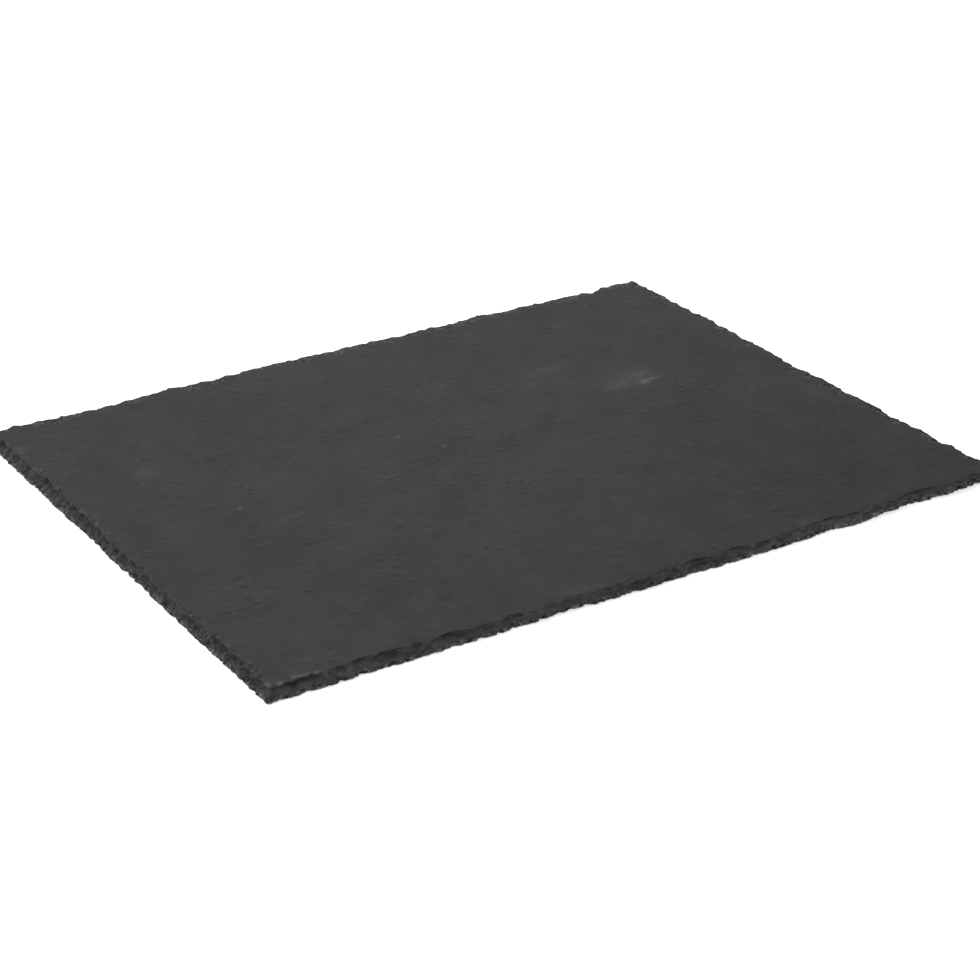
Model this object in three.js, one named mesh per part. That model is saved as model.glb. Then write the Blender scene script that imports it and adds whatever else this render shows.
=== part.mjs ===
// A natural slate slab: one flat, hand-dressed rectangle of dark riven stone,
// the kind that is laid on a table as a place mat or a serving board.
// The stone lies with its struck, chipped arris upwards: every edge leans in from
// a fairly straight bottom outline to a wavy upper lip, and is made of shallow
// shell-shaped flake scars that meet in sharp arrises.
//
// Millimetres, +Z up. X runs along the long sides, Y along the short sides.
// The origin is the middle of the underside, on the surface that the slab lies on.
import * as THREE from 'three';

// ---- driving dimensions -----------------------------------------------------
const LENGTH = 325;          // long side of the stone, at its widest outline
const WIDTH = 265;           // short side of the stone, at its widest outline
const THICKNESS = 4.8;       // underside to the flat of the riven top
const LIP_HEIGHT = 4.5;      // mean height of the chipped upper lip
const LIP_WANDER = 0.2;      // how far the lip rises and falls along the edge
const BEVEL = { south: 1.55, east: 1.85, north: 1.65, west: 2.05 };   // how far the arrises lean in, bottom outline to lip
const SCAR_BASE = 0.45;      // depth of a narrow flake scar at the lip
const SCAR_GAIN = 0.075;     // extra depth for each millimetre of scar width
const SCAR_LIMIT = 2.1;      // deepest flake scar at the lip
const SCAR_SHARE = { south: 1, east: 0.75, north: 0.9, west: 0.55 };  // how strongly each side was struck
const FOOT_RISE = 0.35;      // height of the widest line above the underside
const FOOT_INSET = 1.3;      // from the widest line in to the flat underside
const TOP_INSET = 9.0;       // from the bottom outline in to the flat of the top
const COLUMNS_LONG = 132;    // facets along a long side
const COLUMNS_SHORT = 108;   // facets along a short side
const CORNER_REACH = { sw: 2.8, se: 3.0, ne: 2.2, nw: 3.2 };   // how far each worn corner is rounded

const HALF_X = LENGTH / 2;
const HALF_Y = WIDTH / 2;

// ---- the wander of each hand-cut side ---------------------------------------
// Pairs of position along the side and inward shift of that side's outline.
// Positions are x on the south and north sides, y on the east and west sides.
const WANDER = {
  south: [[-163, 0.0], [-147, 0.9], [-136, 0.3], [-122, 1.1], [-110, 0.3], [-88, 0.9], [-72, 0.8], [-50, 1.4],
    [-38, 1.8], [-28, 1.2], [-8, 0.6], [11, 1.3], [26, 0.7], [50, 0.4], [72, 1.7], [88, 1.1], [102, 2.1],
    [115, 3.3], [124, 2.6], [135, 2.4], [147, 3.5], [163, 2.9]],
  east: [[-133, 0.5], [-119, 0.2], [-108, 1.0], [-96, 1.5], [-84, 1.2], [-76, 1.8], [-63, 1.3], [-48, 1.1],
    [-30, 1.1], [-12, 1.1], [0, 1.9], [10, 1.7], [24, 0.8], [40, 0.4], [56, 0.4], [70, 0.2], [82, 0.9],
    [93, 0.8], [104, 0.4], [118, 0.9], [133, 0.6]],
  north: [[-163, 0.6], [-149, 0.1], [-135, 1.0], [-119, 2.5], [-100, 1.4], [-88, 0.7], [-78, 0.0], [-68, 1.5],
    [-50, 0.4], [-28, 0.4], [-12, 0.7], [8, 0.1], [24, 1.2], [37, 2.4], [50, 1.3], [58, 2.9], [68, 1.8],
    [76, 0.0], [84, 1.6], [96, 1.6], [112, 2.6], [122, 2.8], [134, 4.5], [143, 1.8], [163, 0.9]],
  west: [[-133, 0.5], [-113, 0.2], [-90, 0.3], [-66, 0.1], [-50, 0.2], [-28, 0.5], [-1, 0.2], [10, 0.6],
    [29, 0.6], [43, 0.5], [59, 0.2], [74, 0.5], [88, 0.0], [104, 0.3], [120, 0.6], [133, 0.5]],
};

// ---- the flake scars --------------------------------------------------------
// Stations of the arrises where two neighbouring scars meet, along each side.
const ARRISES = {
  south: [-165, -159, -150, -138, -129, -120, -105, -97, -80, -69, -54, -40, -31, -22, -8, -4, 9, 25, 39, 48, 59,
    66, 73, 84, 95, 103, 110, 132, 142, 153, 165],
  east: [-136, -119, -108, -102, -94, -87, -83, -75, -69, -57, -49, -41, -38, -30, -26, -17, -9, -5, 3, 11, 20,
    29, 33, 45, 53, 64, 69, 74, 82, 92, 101, 112, 117, 127, 136],
  north: [-165, -149, -138, -128, -119, -108, -99, -91, -82, -78, -69, -63, -51, -43, -37, -28, -21, -14, -8, -1,
    6, 12, 20, 31, 39, 44, 51, 60, 66, 76, 84, 98, 106, 115, 121, 131, 142, 152, 165],
  west: [-136, -131, -124, -117, -112, -104, -99, -91, -86, -80, -71, -66, -61, -53, -45, -39, -34, -25, -19, -12,
    -6, 1, 9, 14, 22, 28, 37, 43, 50, 54, 63, 69, 76, 85, 91, 96, 105, 111, 119, 126, 136],
};

// ---- helpers ----------------------------------------------------------------
const clamp = (v, lo, hi) => Math.min(hi, Math.max(lo, v));

// A repeatable number from 0 to 1 for a pair of whole numbers.
function chance(i, seed) {
  let h = Math.imul((i | 0) + 0x7f4a7c15, 0x9e3779b1) ^ Math.imul(seed | 0, 0x85ebca6b);
  h = Math.imul(h ^ (h >>> 15), 0x2c1b3c6d);
  h = Math.imul(h ^ (h >>> 12), 0x297a2d39);
  return ((h ^ (h >>> 15)) >>> 0) / 4294967296;
}

// Smooth noise from -1 to 1 along a line, one knot for every whole number.
function drift(t, seed) {
  const i = Math.floor(t);
  const f = t - i;
  const w = f * f * (3 - 2 * f);
  return (chance(i, seed) * (1 - w) + chance(i + 1, seed) * w) * 2 - 1;
}

// Straight lines through a list of [position, value] pairs.
function along(pairs, s) {
  if (s <= pairs[0][0]) return pairs[0][1];
  for (let k = 1; k < pairs.length; k += 1) {
    if (s <= pairs[k][0]) {
      const f = (s - pairs[k - 1][0]) / (pairs[k][0] - pairs[k - 1][0]);
      return pairs[k - 1][1] + f * (pairs[k][1] - pairs[k - 1][1]);
    }
  }
  return pairs[pairs.length - 1][1];
}

const SEED = { south: 11, east: 23, north: 37, west: 53 };

// The flake scar at a station: how deep it bites into the lip, and how hollow it is.
function scar(side, s) {
  const list = ARRISES[side];
  let k = 0;
  while (k < list.length - 2 && s > list[k + 1]) k += 1;
  const span = list[k + 1] - list[k];
  const u = clamp((2 * (s - list[k])) / span - 1, -1, 1);
  const depth = SCAR_SHARE[side] * Math.min(SCAR_LIMIT, SCAR_BASE + SCAR_GAIN * span) * (0.7 + 0.6 * chance(k, SEED[side]));
  const shape = Math.pow(1 - u * u, 0.7);
  return { bite: depth * shape, hollow: 1 + (0.5 + 0.9 * chance(k, SEED[side] + 1)) * shape };
}

// Height of the lip. It is a field over the plan, so neighbouring sides agree at a corner.
function lipHeight(x, y) {
  return LIP_HEIGHT + LIP_WANDER * (0.6 * drift((x + 0.7 * y) / 31, 5) + 0.4 * drift((y - 0.6 * x) / 13, 6));
}

// Inward distance of the stone's surface from the outline box, for one side, at a
// fraction of the lip's height: 0 is the bottom outline and 1 is the lip.
function inset(side, s, rise) {
  const foot = along(WANDER[side], s) + 0.25 * (1 + drift(s / 4.1, SEED[side] + 2));
  const { bite, hollow } = scar(side, s);
  const lean = BEVEL[side] + bite + 0.35 * drift(s / 9.3, SEED[side] + 3);
  return foot + lean * (1 - Math.pow(1 - rise, hollow));
}

// ---- the outline at one level -----------------------------------------------
const CORNERS = [
  { name: 'sw', x: -1, y: -1, alongX: 'south', alongY: 'west' },
  { name: 'se', x: 1, y: -1, alongX: 'south', alongY: 'east' },
  { name: 'ne', x: 1, y: 1, alongX: 'north', alongY: 'east' },
  { name: 'nw', x: -1, y: 1, alongX: 'north', alongY: 'west' },
];

// insetAt(side, s) gives the inward distance of a side at this level. The result
// is the closed ring of plan points, anticlockwise from the south-west corner.
function ring(insetAt) {
  const met = CORNERS.map((c) => {
    let x = c.x * HALF_X;
    let y = c.y * HALF_Y;
    for (let n = 0; n < 8; n += 1) {
      x = c.x * (HALF_X - insetAt(c.alongY, y));
      y = c.y * (HALF_Y - insetAt(c.alongX, x));
    }
    return { x, y, reach: CORNER_REACH[c.name] };
  });
  const points = [];
  const sides = [['south', 0, 1], ['east', 1, 2], ['north', 2, 3], ['west', 3, 0]];
  for (const [side, from, to] of sides) {
    const flat = side === 'south' || side === 'north';
    const a = met[from];
    const b = met[to];
    const start = flat ? a.x : a.y;
    const end = flat ? b.x : b.y;
    const way = Math.sign(end - start);
    const length = Math.abs(end - start);
    const count = flat ? COLUMNS_LONG : COLUMNS_SHORT;
    for (let i = 0; i < count; i += 1) {
      let run = (length * i) / count;
      let worn = 0;
      const gap = length - run;
      if (run < a.reach) {
        const u = 0.5 * (1 - run / a.reach);
        run = a.reach * (1 - u) * (1 - u);
        worn = a.reach * u * u;
      } else if (gap < b.reach) {
        const u = 0.5 * (1 - gap / b.reach);
        run = length - b.reach * (1 - u) * (1 - u);
        worn = b.reach * u * u;
      }
      const s = start + way * run;
      const n = insetAt(side, s) + worn;
      if (side === 'south') points.push([s, -HALF_Y + n]);
      if (side === 'east') points.push([HALF_X - n, s]);
      if (side === 'north') points.push([s, HALF_Y - n]);
      if (side === 'west') points.push([-HALF_X + n, s]);
    }
  }
  return points;
}

// ---- the slab ---------------------------------------------------------------
// Levels from the underside to the top: the rim of the flat underside, the widest
// line just above it, the leaning scarred edge up to the lip, the rim of the flat top.
const RISES = [0.08, 0.28, 0.5, 0.75, 1];

function levels() {
  const out = [];
  out.push(ring((side, s) => inset(side, s, 0.08) + FOOT_INSET).map(([x, y]) => [x, y, 0]));
  for (const rise of RISES) {
    out.push(ring((side, s) => inset(side, s, rise)).map(([x, y]) => {
      const top = lipHeight(x, y);
      return [x, y, FOOT_RISE + ((top - FOOT_RISE) * (rise - RISES[0])) / (1 - RISES[0])];
    }));
  }
  out.push(ring((side, s) => along(WANDER[side], s) + TOP_INSET + 0.8 * drift(s / 17, SEED[side] + 4))
    .map(([x, y]) => [x, y, THICKNESS]));
  return out;
}

// A lathe turned with one segment for each column of the edge is a closed body with
// a flat fan below and above. Its rings are then drawn out to the slab's levels.
function slabGeometry() {
  const rings = levels();
  const columns = rings[0].length;
  const profile = [new THREE.Vector2(0, 0)];
  rings.forEach((_, k) => profile.push(new THREE.Vector2(100, k)));
  profile.push(new THREE.Vector2(0, rings.length - 1));
  const geometry = new THREE.LatheGeometry(profile, columns);
  const position = geometry.getAttribute('position');
  const perColumn = profile.length;

  // Centre the plan's box on the origin, and bring it to the stated length and width.
  let loX = Infinity;
  let hiX = -Infinity;
  let loY = Infinity;
  let hiY = -Infinity;
  for (const points of rings) {
    for (const [x, y] of points) {
      loX = Math.min(loX, x);
      hiX = Math.max(hiX, x);
      loY = Math.min(loY, y);
      hiY = Math.max(hiY, y);
    }
  }
  const midX = (loX + hiX) / 2;
  const midY = (loY + hiY) / 2;
  const fitX = LENGTH / (hiX - loX);
  const fitY = WIDTH / (hiY - loY);

  for (let i = 0; i <= columns; i += 1) {
    for (let j = 0; j < perColumn; j += 1) {
      const at = i * perColumn + j;
      if (j === 0) position.setXYZ(at, 0, 0, 0);
      else if (j === perColumn - 1) position.setXYZ(at, 0, 0, THICKNESS);
      else {
        const [x, y, z] = rings[j - 1][i % columns];
        position.setXYZ(at, (x - midX) * fitX, (y - midY) * fitY, z);
      }
    }
  }
  position.needsUpdate = true;
  geometry.computeVertexNormals();
  return geometry;
}

const stone = new THREE.MeshStandardMaterial({ name: 'dark riven slate', color: 0x454445, roughness: 0.82, metalness: 0 });
const slab = new THREE.Mesh(slabGeometry(), stone);
slab.name = 'slate_slab';

const part = new THREE.Group();
part.name = 'slate slab';
part.add(slab);

export default part;
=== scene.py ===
import math

import bpy
import numpy as np
from mathutils import Matrix, Vector


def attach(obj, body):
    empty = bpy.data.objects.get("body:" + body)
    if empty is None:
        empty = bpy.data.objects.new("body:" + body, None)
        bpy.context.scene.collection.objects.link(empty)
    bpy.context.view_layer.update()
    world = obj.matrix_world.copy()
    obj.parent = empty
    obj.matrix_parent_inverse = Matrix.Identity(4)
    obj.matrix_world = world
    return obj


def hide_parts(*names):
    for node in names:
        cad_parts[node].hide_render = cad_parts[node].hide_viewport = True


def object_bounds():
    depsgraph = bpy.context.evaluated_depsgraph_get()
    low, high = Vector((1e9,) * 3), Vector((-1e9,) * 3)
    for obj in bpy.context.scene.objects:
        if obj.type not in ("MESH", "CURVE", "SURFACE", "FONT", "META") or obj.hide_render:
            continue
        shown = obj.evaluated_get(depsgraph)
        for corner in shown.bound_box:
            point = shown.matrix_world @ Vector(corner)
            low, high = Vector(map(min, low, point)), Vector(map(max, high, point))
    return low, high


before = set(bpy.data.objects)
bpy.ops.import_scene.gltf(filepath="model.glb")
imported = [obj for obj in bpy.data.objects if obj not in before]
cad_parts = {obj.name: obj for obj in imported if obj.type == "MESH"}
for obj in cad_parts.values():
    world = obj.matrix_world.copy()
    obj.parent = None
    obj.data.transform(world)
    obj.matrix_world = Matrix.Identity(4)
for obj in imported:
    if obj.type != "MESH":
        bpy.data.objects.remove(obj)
cad_lo, cad_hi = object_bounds()

# =============================================================================
# 1. The stone's plan and edge, in millimetres: the same numbers as the solid
# =============================================================================
LENGTH, WIDTH, THICKNESS = 325.0, 265.0, 4.8
LIP_HEIGHT, LIP_WANDER = 4.5, 0.2
BEVEL = {"south": 1.55, "east": 1.85, "north": 1.65, "west": 2.05}
SCAR_BASE, SCAR_GAIN, SCAR_LIMIT = 0.45, 0.075, 2.1
SCAR_SHARE = {"south": 1.0, "east": 0.75, "north": 0.9, "west": 0.55}
FOOT_RISE, FOOT_INSET = 0.35, 1.3
HALF_X, HALF_Y = LENGTH / 2, WIDTH / 2
SIDES = ("south", "east", "north", "west")
SEED = {"south": 11, "east": 23, "north": 37, "west": 53}

WANDER = {
    "south": [(-163, 0.0), (-147, 0.9), (-136, 0.3), (-122, 1.1), (-110, 0.3), (-88, 0.9), (-72, 0.8), (-50, 1.4),
              (-38, 1.8), (-28, 1.2), (-8, 0.6), (11, 1.3), (26, 0.7), (50, 0.4), (72, 1.7), (88, 1.1), (102, 2.1),
              (115, 3.3), (124, 2.6), (135, 2.4), (147, 3.5), (163, 2.9)],
    "east": [(-133, 0.5), (-119, 0.2), (-108, 1.0), (-96, 1.5), (-84, 1.2), (-76, 1.8), (-63, 1.3), (-48, 1.1),
             (-30, 1.1), (-12, 1.1), (0, 1.9), (10, 1.7), (24, 0.8), (40, 0.4), (56, 0.4), (70, 0.2), (82, 0.9),
             (93, 0.8), (104, 0.4), (118, 0.9), (133, 0.6)],
    "north": [(-163, 0.6), (-149, 0.1), (-135, 1.0), (-119, 2.5), (-100, 1.4), (-88, 0.7), (-78, 0.0), (-68, 1.5),
              (-50, 0.4), (-28, 0.4), (-12, 0.7), (8, 0.1), (24, 1.2), (37, 2.4), (50, 1.3), (58, 2.9), (68, 1.8),
              (76, 0.0), (84, 1.6), (96, 1.6), (112, 2.6), (122, 2.8), (134, 4.5), (143, 1.8), (163, 0.9)],
    "west": [(-133, 0.5), (-113, 0.2), (-90, 0.3), (-66, 0.1), (-50, 0.2), (-28, 0.5), (-1, 0.2), (10, 0.6),
             (29, 0.6), (43, 0.5), (59, 0.2), (74, 0.5), (88, 0.0), (104, 0.3), (120, 0.6), (133, 0.5)],
}
ARRISES = {
    "south": [-165, -159, -150, -138, -129, -120, -105, -97, -80, -69, -54, -40, -31, -22, -8, -4, 9, 25, 39, 48, 59,
              66, 73, 84, 95, 103, 110, 132, 142, 153, 165],
    "east": [-136, -119, -108, -102, -94, -87, -83, -75, -69, -57, -49, -41, -38, -30, -26, -17, -9, -5, 3, 11, 20,
             29, 33, 45, 53, 64, 69, 74, 82, 92, 101, 112, 117, 127, 136],
    "north": [-165, -149, -138, -128, -119, -108, -99, -91, -82, -78, -69, -63, -51, -43, -37, -28, -21, -14, -8, -1,
              6, 12, 20, 31, 39, 44, 51, 60, 66, 76, 84, 98, 106, 115, 121, 131, 142, 152, 165],
    "west": [-136, -131, -124, -117, -112, -104, -99, -91, -86, -80, -71, -66, -61, -53, -45, -39, -34, -25, -19, -12,
             -6, 1, 9, 14, 22, 28, 37, 43, 50, 54, 63, 69, 76, 85, 91, 96, 105, 111, 119, 126, 136],
}
CORNERS = [(-1, -1, "south", "west", 2.8), (1, -1, "south", "east", 3.0),
           (1, 1, "north", "east", 2.2), (-1, 1, "north", "west", 3.2)]


def chance(i, seed):
    """A repeatable number from 0 to 1 for whole numbers."""
    with np.errstate(over="ignore"):
        i = np.atleast_1d(np.asarray(i)).astype(np.int64).astype(np.uint32)
        h = (i + np.uint32(0x7F4A7C15)) * np.uint32(0x9E3779B1)
        h = h ^ np.uint32((int(seed) * 0x85EBCA6B) & 0xFFFFFFFF)
        h = (h ^ (h >> np.uint32(15))) * np.uint32(0x2C1B3C6D)
        h = (h ^ (h >> np.uint32(12))) * np.uint32(0x297A2D39)
        return (h ^ (h >> np.uint32(15))) / 4294967296.0


def drift(t, seed):
    """Smooth noise from -1 to 1 along a line."""
    t = np.atleast_1d(np.asarray(t, float))
    i = np.floor(t)
    f = t - i
    w = f * f * (3 - 2 * f)
    return (chance(i, seed) * (1 - w) + chance(i + 1, seed) * w) * 2 - 1


def field(x, y, seed):
    """Smooth gradient noise over a plane, about -1 to 1."""
    xi, yi = np.floor(x), np.floor(y)
    fx, fy = x - xi, y - yi
    ux, uy = fx ** 3 * (fx * (6 * fx - 15) + 10), fy ** 3 * (fy * (6 * fy - 15) + 10)

    def corner(dx, dy):
        a = chance((xi + dx) * 7919 + (yi + dy) * 104729, seed) * 2 * math.pi
        return np.cos(a) * (fx - dx) + np.sin(a) * (fy - dy)

    low = corner(0, 0) * (1 - ux) + corner(1, 0) * ux
    high = corner(0, 1) * (1 - ux) + corner(1, 1) * ux
    return (low * (1 - uy) + high * uy) * 1.5


def facets(s, z, a, b, seed):
    """A jittered net of broken facets, a by b in size: the tilted depth of the facet at each point (0 to about 1),
    a random number for the facet, and the distance from its rim."""
    gs, gz = s / a, z / b
    i0, j0 = np.floor(gs), np.floor(gz)
    best, second = np.full(gs.shape, 99.0), np.full(gs.shape, 99.0)
    depth, tone_and_shade = np.zeros(gs.shape), np.zeros(gs.shape)
    for di in (-1, 0, 1):
        for dj in (-1, 0, 1):
            key = (i0 + di) * 613 + (j0 + dj) * 7351
            ds = gs - (i0 + di + 0.1 + 0.8 * chance(key, seed))
            dz = gz - (j0 + dj + 0.1 + 0.8 * chance(key, seed + 1))
            d = ds * ds + dz * dz
            near = d < best
            second = np.where(near, best, np.minimum(second, d))
            best = np.where(near, d, best)
            plane = chance(key, seed + 2) + 0.9 * (chance(key, seed + 3) - 0.5) * ds + 0.9 * (chance(key, seed + 4) - 0.5) * dz
            depth = np.where(near, plane, depth)
            tone_and_shade = np.where(near, chance(key, seed + 5), tone_and_shade)
    return np.clip(depth, -0.2, 1.3), tone_and_shade, np.sqrt(second) - np.sqrt(best)


def smooth(lo, hi, v):
    t = np.clip((v - lo) / (hi - lo), 0, 1)
    return t * t * (3 - 2 * t)


def along(pairs, s):
    return np.interp(s, [p[0] for p in pairs], [p[1] for p in pairs])


def scar(side, s):
    """The flake scar at a station: its bite into the lip, how hollow it is, the place in it from -1 to 1, its number."""
    edges = np.array(ARRISES[side], float)
    k = np.searchsorted(edges[1:-1], s, side="left")
    span = edges[k + 1] - edges[k]
    u = np.clip(2 * (s - edges[k]) / span - 1, -1, 1)
    depth = SCAR_SHARE[side] * np.minimum(SCAR_LIMIT, SCAR_BASE + SCAR_GAIN * span) * (0.7 + 0.6 * chance(k, SEED[side]))
    shape = (1 - u * u) ** 0.7
    return depth * shape, 1 + (0.5 + 0.9 * chance(k, SEED[side] + 1)) * shape, u, k


def lip_height(x, y):
    return LIP_HEIGHT + LIP_WANDER * (0.6 * drift((x + 0.7 * y) / 31, 5) + 0.4 * drift((y - 0.6 * x) / 13, 6))


def inset(side, s, rise):
    s = np.atleast_1d(np.asarray(s, float))
    foot = along(WANDER[side], s) + 0.25 * (1 + drift(s / 4.1, SEED[side] + 2))
    bite, hollow, _, _ = scar(side, s)
    lean = BEVEL[side] + bite + 0.35 * drift(s / 9.3, SEED[side] + 3)
    return foot + lean * (1 - (1 - rise) ** hollow)


def nominal(side, s):
    """The plan point of the outline box at a station of a side."""
    one = np.ones_like(s)
    return {"south": (s, -HALF_Y * one), "north": (s, HALF_Y * one),
            "east": (HALF_X * one, s), "west": (-HALF_X * one, s)}[side]


def ring(inset_at, n_long, n_short, rounds=8):
    """One closed ring of plan points, anticlockwise from the south-west corner, with each point's side and station."""
    met = []
    for cx, cy, ax, ay, reach in CORNERS:
        x, y = cx * HALF_X, cy * HALF_Y
        for _ in range(rounds):
            x = cx * (HALF_X - float(inset_at(ay, np.array([y]))[0]))
            y = cy * (HALF_Y - float(inset_at(ax, np.array([x]))[0]))
        met.append((x, y, reach))
    xs, ys, sides, stations = [], [], [], []
    for number, (side, a, b) in enumerate((("south", 0, 1), ("east", 1, 2), ("north", 2, 3), ("west", 3, 0))):
        flat = side in ("south", "north")
        count = n_long if flat else n_short
        start, end = (met[a][0], met[b][0]) if flat else (met[a][1], met[b][1])
        way, length = math.copysign(1, end - start), abs(end - start)
        base = length * np.arange(count) / count
        run, worn = base.copy(), np.zeros(count)
        for reach, gap, first in ((met[a][2], base, True), (met[b][2], length - base, False)):
            near = gap < reach
            u = 0.5 * (1 - gap[near] / reach)
            at = reach * (1 - u) ** 2
            run[near] = at if first else length - at
            worn[near] = reach * u * u
        s = start + way * run
        n = inset_at(side, s) + worn
        xs.append({"south": s, "north": s, "east": HALF_X - n, "west": -HALF_X + n}[side])
        ys.append({"south": -HALF_Y + n, "north": HALF_Y - n, "east": s, "west": s}[side])
        sides.append(np.full(count, number))
        stations.append(s)
    return np.concatenate(xs), np.concatenate(ys), np.concatenate(sides), np.concatenate(stations)


def by_side(fn, sides, stations):
    out = np.zeros(len(stations))
    for number, side in enumerate(SIDES):
        pick = sides == number
        out[pick] = fn(side, stations[pick])
    return out


# The solid is centred and brought to its stated length and width: the same shift and fit here.
coarse = [ring(lambda side, s: inset(side, s, 0.08) + FOOT_INSET, 132, 108)]
coarse += [ring(lambda side, s, r=r: inset(side, s, r), 132, 108) for r in (0.08, 0.28, 0.5, 0.75, 1.0)]
all_x = np.concatenate([c[0] for c in coarse])
all_y = np.concatenate([c[1] for c in coarse])
MID_X, MID_Y = (all_x.min() + all_x.max()) / 2, (all_y.min() + all_y.max()) / 2
FIT_X, FIT_Y = LENGTH / (all_x.max() - all_x.min()), WIDTH / (all_y.max() - all_y.min())

# =============================================================================
# 2. The fine surface: riven top, struck edge, spalled lip
# =============================================================================
rng = np.random.default_rng(20417)

# -- the riven top: little flakes that stop short in ledges, roughly along the grain
FLAKES = []
for _ in range(1700):
    # short ledges lie slantwise, loosely one behind another along the grain
    mid_x, mid_y, run = rng.uniform(-HALF_X, HALF_X), rng.uniform(-HALF_Y, HALF_Y), math.radians(rng.normal(3, 8))
    count, gap, strength, front = int(rng.integers(1, 4)), rng.uniform(6.0, 11.0), rng.random() ** 2.0, rng.random() < 0.58
    for i in range(count):
        a, b = (i - (count - 1) / 2) * gap + rng.normal(0, 1.6), rng.normal(0, 1.6)
        turn = math.radians(-14 - 0.05 * mid_x + rng.normal(0, 15))
        FLAKES.append((mid_x + a * math.cos(run) - b * math.sin(run), mid_y + a * math.sin(run) + b * math.cos(run),
                       math.cos(turn), math.sin(turn),
                       1.4 + 1.6 * rng.random() ** 1.6,           # half length along the ledge
                       1.6 + 2.2 * rng.random(),                  # how far back the flake tapers
                       strength * (0.5 + 0.5 * rng.random()), front))      # strength; ledge facing -Y, or +Y


def riven(x, y):
    """Height of the riven top above its mean plane, in millimetres, before the flakes."""
    c, s = math.cos(math.radians(-8)), math.sin(math.radians(-8))
    u, v = x * c + y * s, -x * s + y * c
    h = 0.085 * field(x / 96 + 3.1, y / 71 - 1.7, 101) + 0.035 * field(x / 37, y / 24, 102)
    h = h + 0.020 * field(u / 12, v / 7.5, 103) + 0.007 * field(u / 5.5, v / 3.6, 104)
    # broken cleavage steps that wander along the grain
    phase = (v + 5 * field(u / 60, v / 30, 105) + 2.4 * field(u / 17, v / 11, 106)) / 13.0
    return h + 0.020 * (phase - np.floor(phase)) * smooth(0.15, 0.6, field(u / 21, v / 10, 107))


def top_surface(x, y):
    """Height of the top and its tone with painted ledge shade and light (a factor about 1) at plan points."""
    out, tone_and_shade = riven(x, y), np.ones(len(x))
    order = np.argsort(y)
    sorted_y = y[order]
    for fx, fy, c, s, half, back, power, front in FLAKES:
        reach = half * abs(s) + 5.0
        lo, hi = np.searchsorted(sorted_y, (fy - reach, fy + reach))
        pick = order[lo:hi]
        pick = pick[np.abs(x[pick] - fx) < half + 3.0]
        if not len(pick):
            continue
        dx, dy = x[pick] - fx, y[pick] - fy
        u, v = (dx * c + dy * s) / half, (-dx * s + dy * c)
        span = np.clip(1 - u * u, 0, 1)
        v = v if front else -v
        # the ledge is at v = 0, facing -v, and the flake tapers away behind it
        out[pick] += (0.014 + 0.075 * power) * span * smooth(-0.6, 0.35, v) * np.clip(1 - v / back, 0, 1)
        # painted shade and light: a ledge facing the front is darkened along its line and lightened on the flank
        # behind; a ledge facing back is lightened along its line and darkened on both sides
        ledge = np.exp(-0.5 * (v / 0.95) ** 2)
        behind, before = np.exp(-0.5 * ((v - 2.2) / 1.1) ** 2), np.exp(-0.5 * ((v + 2.4) / 1.1) ** 2)
        if front:
            tone_and_shade[pick] += power * span * (-0.22 * ledge + 0.08 * behind + 0.04 * before)
        else:
            tone_and_shade[pick] += power * span * (0.20 * ledge - 0.04 * behind - 0.07 * before)
    return THICKNESS - 0.16 + np.clip(out, -0.2, 0.15), tone_and_shade


# -- the lip: thin spalls and sloping chips that have come off the top face along its edge
LIP_WEAR = {"south": (9.0, 2.0, 0.25, 1.0), "east": (2.6, 6.0, 0.55, 0.45), "north": (3.0, 9.0, 0.5, 0.30),
            "west": (4.0, 3.2, 0.6, 0.9)}
LIP_GRIT = {"south": 0.6, "east": 1.2, "north": 1.1, "west": 0.6}
LIP_PALE = {"south": -0.02, "east": 0.12, "north": 0.20, "west": -0.06}
PAINTED_RIM_SHADE = {"south": 0.0, "east": 0.25, "north": 0.38, "west": 0.0}
LIP_PAINTED_LIGHT = {"south": 0.0, "east": 0.06, "north": 0.12, "west": 0.0}
SPALLS = {}
for side in SIDES:
    half = HALF_X if side in ("south", "north") else HALF_Y
    gap, far, chips, deep = LIP_WEAR[side]
    SPALLS[side] = [(rng.uniform(-half, half), rng.uniform(1.4, 5.5), far * (0.2 + 0.8 * rng.random() ** 1.6),
                     deep * rng.uniform(0.25, 1.0), rng.random() < chips, int(rng.integers(900, 9000)))
                    for _ in range(int(2 * half / gap))]


def spalled(side, s, d):
    """Depth that has come off the top face at a distance d in from the lip, and how much of the skin is gone."""
    out, bare = np.zeros_like(s), np.zeros_like(s)
    for at, half, reach, deep, chip, seed in SPALLS[side]:
        near = np.abs(s - at) < half
        if not near.any():
            continue
        u = (s[near] - at) / half
        edge = reach * (1 - u * u) ** 0.6 * (1 + 0.25 * drift(s[near] / 2.4, seed)) - d[near]
        cut = 0.95 * deep * np.clip(edge / reach, 0, 1) ** 0.9 if chip else 0.25 * deep * smooth(0.0, 0.6, edge)
        out[near] = np.maximum(out[near], cut)
        bare[near] = np.maximum(bare[near], smooth(-0.1, 0.6, edge) * (1.0 if chip else 0.7))
    return out, bare


# -- the struck edge: facets within each scar, an undercut below the lip, a crumbled foot
CRUMBLE = {"south": 0.85, "east": 1.0, "north": 0.95, "west": 0.95}
SCOOP = {"south": 0.74, "east": 0.45, "north": 0.45, "west": 0.12}
BROW = {"south": (0.89, 0.13), "east": (0.86, 0.16), "north": (0.88, 0.16), "west": (0.80, 0.2)}
NICK = {"south": 0.95, "east": 0.85, "north": 0.9, "west": 0.35}
OUT = {"south": (1.1, 0.8, 0.75), "east": (0.95, 0.95, 0.95), "north": (0.75, 0.75, 0.75), "west": (0.66, 0.43, 0.44)}
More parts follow.
